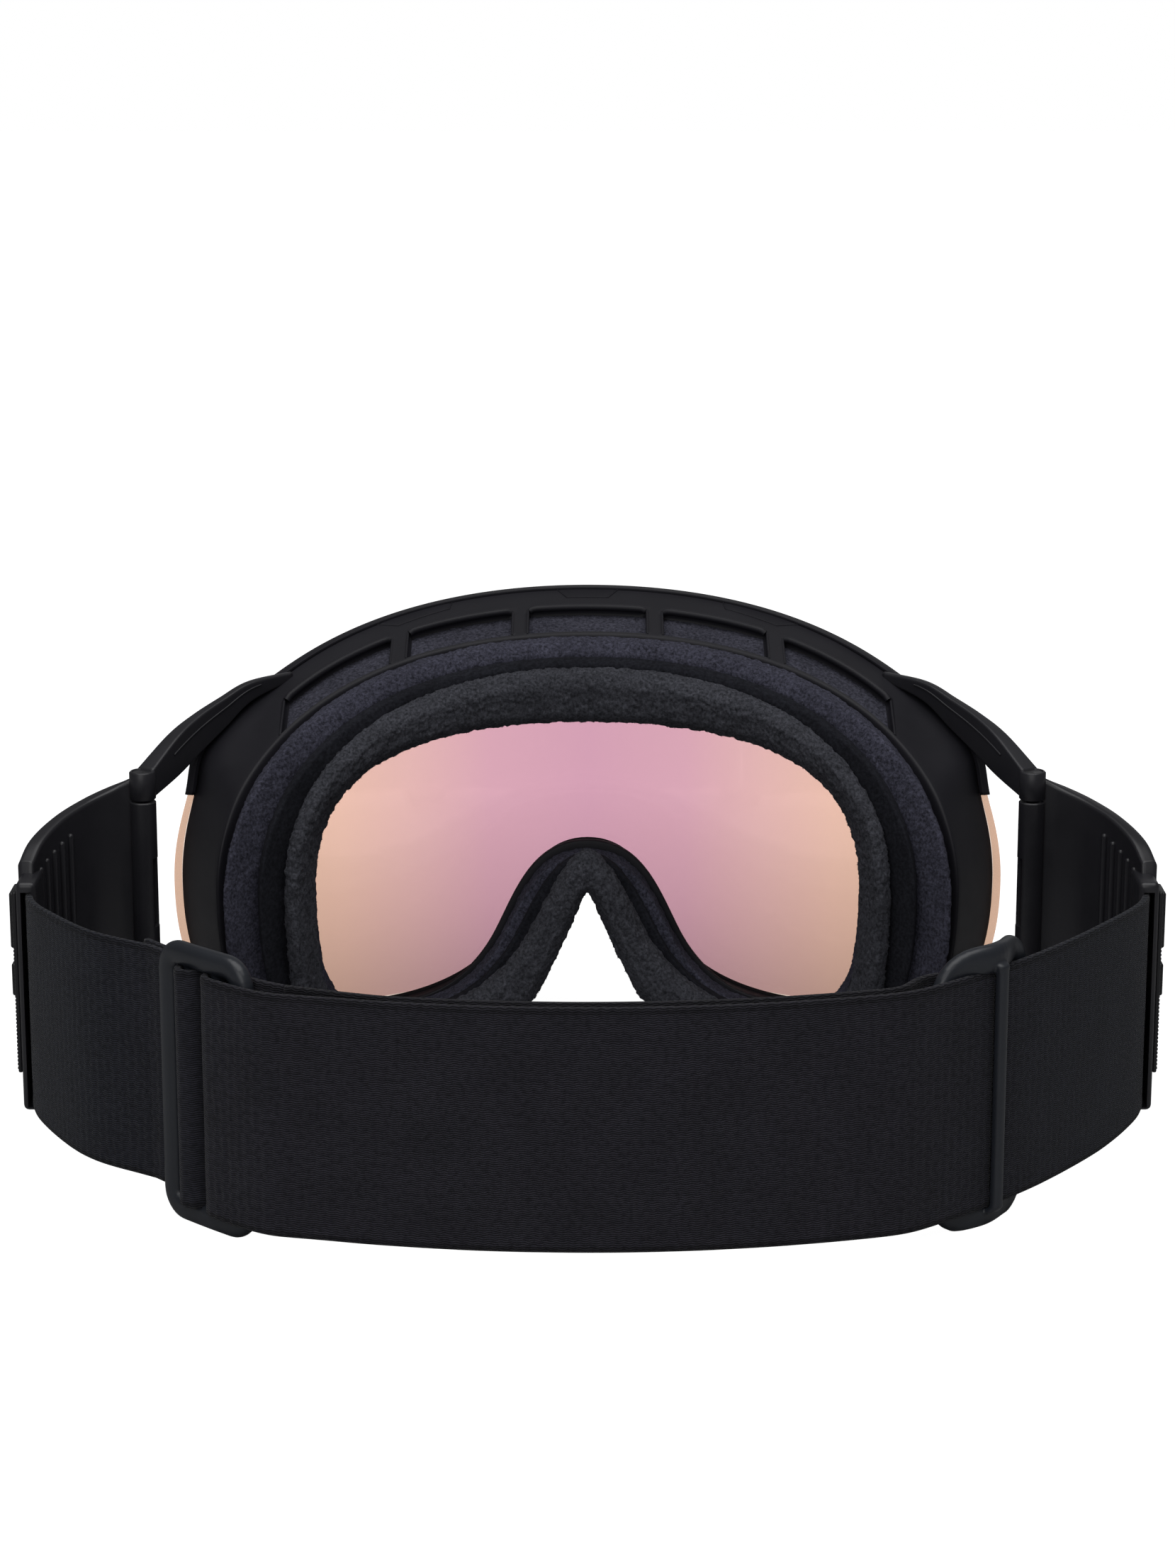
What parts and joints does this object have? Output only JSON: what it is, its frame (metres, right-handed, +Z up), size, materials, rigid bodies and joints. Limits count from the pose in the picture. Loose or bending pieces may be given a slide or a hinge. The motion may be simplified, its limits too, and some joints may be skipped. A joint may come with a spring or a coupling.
{
  "type": "ski goggles",
  "caption": "Cylindrical-lens ski goggles with layered face foam, hinged strap outriggers, a fixed buckle and a sliding buckle on a wide strap.",
  "frame": {"origin": "middle of the bounding box's bottom, under the middle of the goggles, on the surface they stand on", "axes": "+Z up, the lens faces -Y, the strap closes at +Y, and +X is the wearer's left"},
  "size_m": [0.2392, 0.18, 0.097],
  "materials": {
    "frame": "satin black flexible polyurethane",
    "rim": "satin black",
    "outer_lens": "tinted cylindrical lens, pink in the middle and peach at the sides",
    "spacer": "black spacer seal",
    "inner_lens": "clear anti-fog lens",
    "foam_base": "open-cell foam, blue black",
    "foam_middle": "dense foam, black",
    "foam_contact": "fleece-faced foam, grey black",
    "vent_foam": "thin open-cell foam",
    "arm": "satin black",
    "pin": "blackened steel",
    "outrigger": "semi-gloss black",
    "cover": "semi-gloss black",
    "anchor": "black",
    "strap": "woven elastic, near black",
    "strap_return": "woven elastic, near black",
    "buckle": "satin blue black"
  },
  "bodies": {
    "mask": {"frame_shell": "frame", "brow_rim": "rim", "outer_lens": "outer_lens", "lens_spacer": "spacer", "inner_lens": "inner_lens", "face_foam_base": "foam_base", "face_foam_middle": "foam_middle", "face_foam_contact": "foam_contact", "top_vent_foam": "vent_foam", "left_lower_vent_foam": "vent_foam", "right_lower_vent_foam": "vent_foam", "left_upper_hinge_arm": "arm", "right_upper_hinge_arm": "arm", "left_lower_hinge_arm": "arm", "right_lower_hinge_arm": "arm", "left_hinge_pin": "pin", "right_hinge_pin": "pin", "strap_left": "strap", "strap_back": "strap", "strap_return": "strap_return", "strap_right": "strap", "left_buckle": "buckle"},
    "left_side": {"left_outrigger": "outrigger", "left_outrigger_cover": "cover", "left_strap_anchor": "anchor"},
    "right_side": {"right_outrigger": "outrigger", "right_outrigger_cover": "cover", "right_strap_anchor": "anchor"},
    "slider": {"sliding_buckle": "buckle"}
  },
  "joints": [
    {"name": "left_outrigger_hinge", "type": "hinge", "parent": "mask", "child": "left_side", "pos_m": [0.095, -0.024, 0.0423], "axis": [0, 0, 1], "range_deg": [-12, 20], "deforming": ["strap_left"]},
    {"name": "right_outrigger_hinge", "type": "hinge", "parent": "mask", "child": "right_side", "pos_m": [-0.095, -0.024, 0.0423], "axis": [0, 0, -1], "range_deg": [-12, 20], "deforming": ["strap_right"]},
    {"name": "slider_travel", "type": "hinge", "parent": "mask", "child": "slider", "pos_m": [0.06016, -0.07347, 0.029], "axis": [0, 0, 1], "range_deg": [0, 5], "deforming": ["strap_return"]}
  ]
}
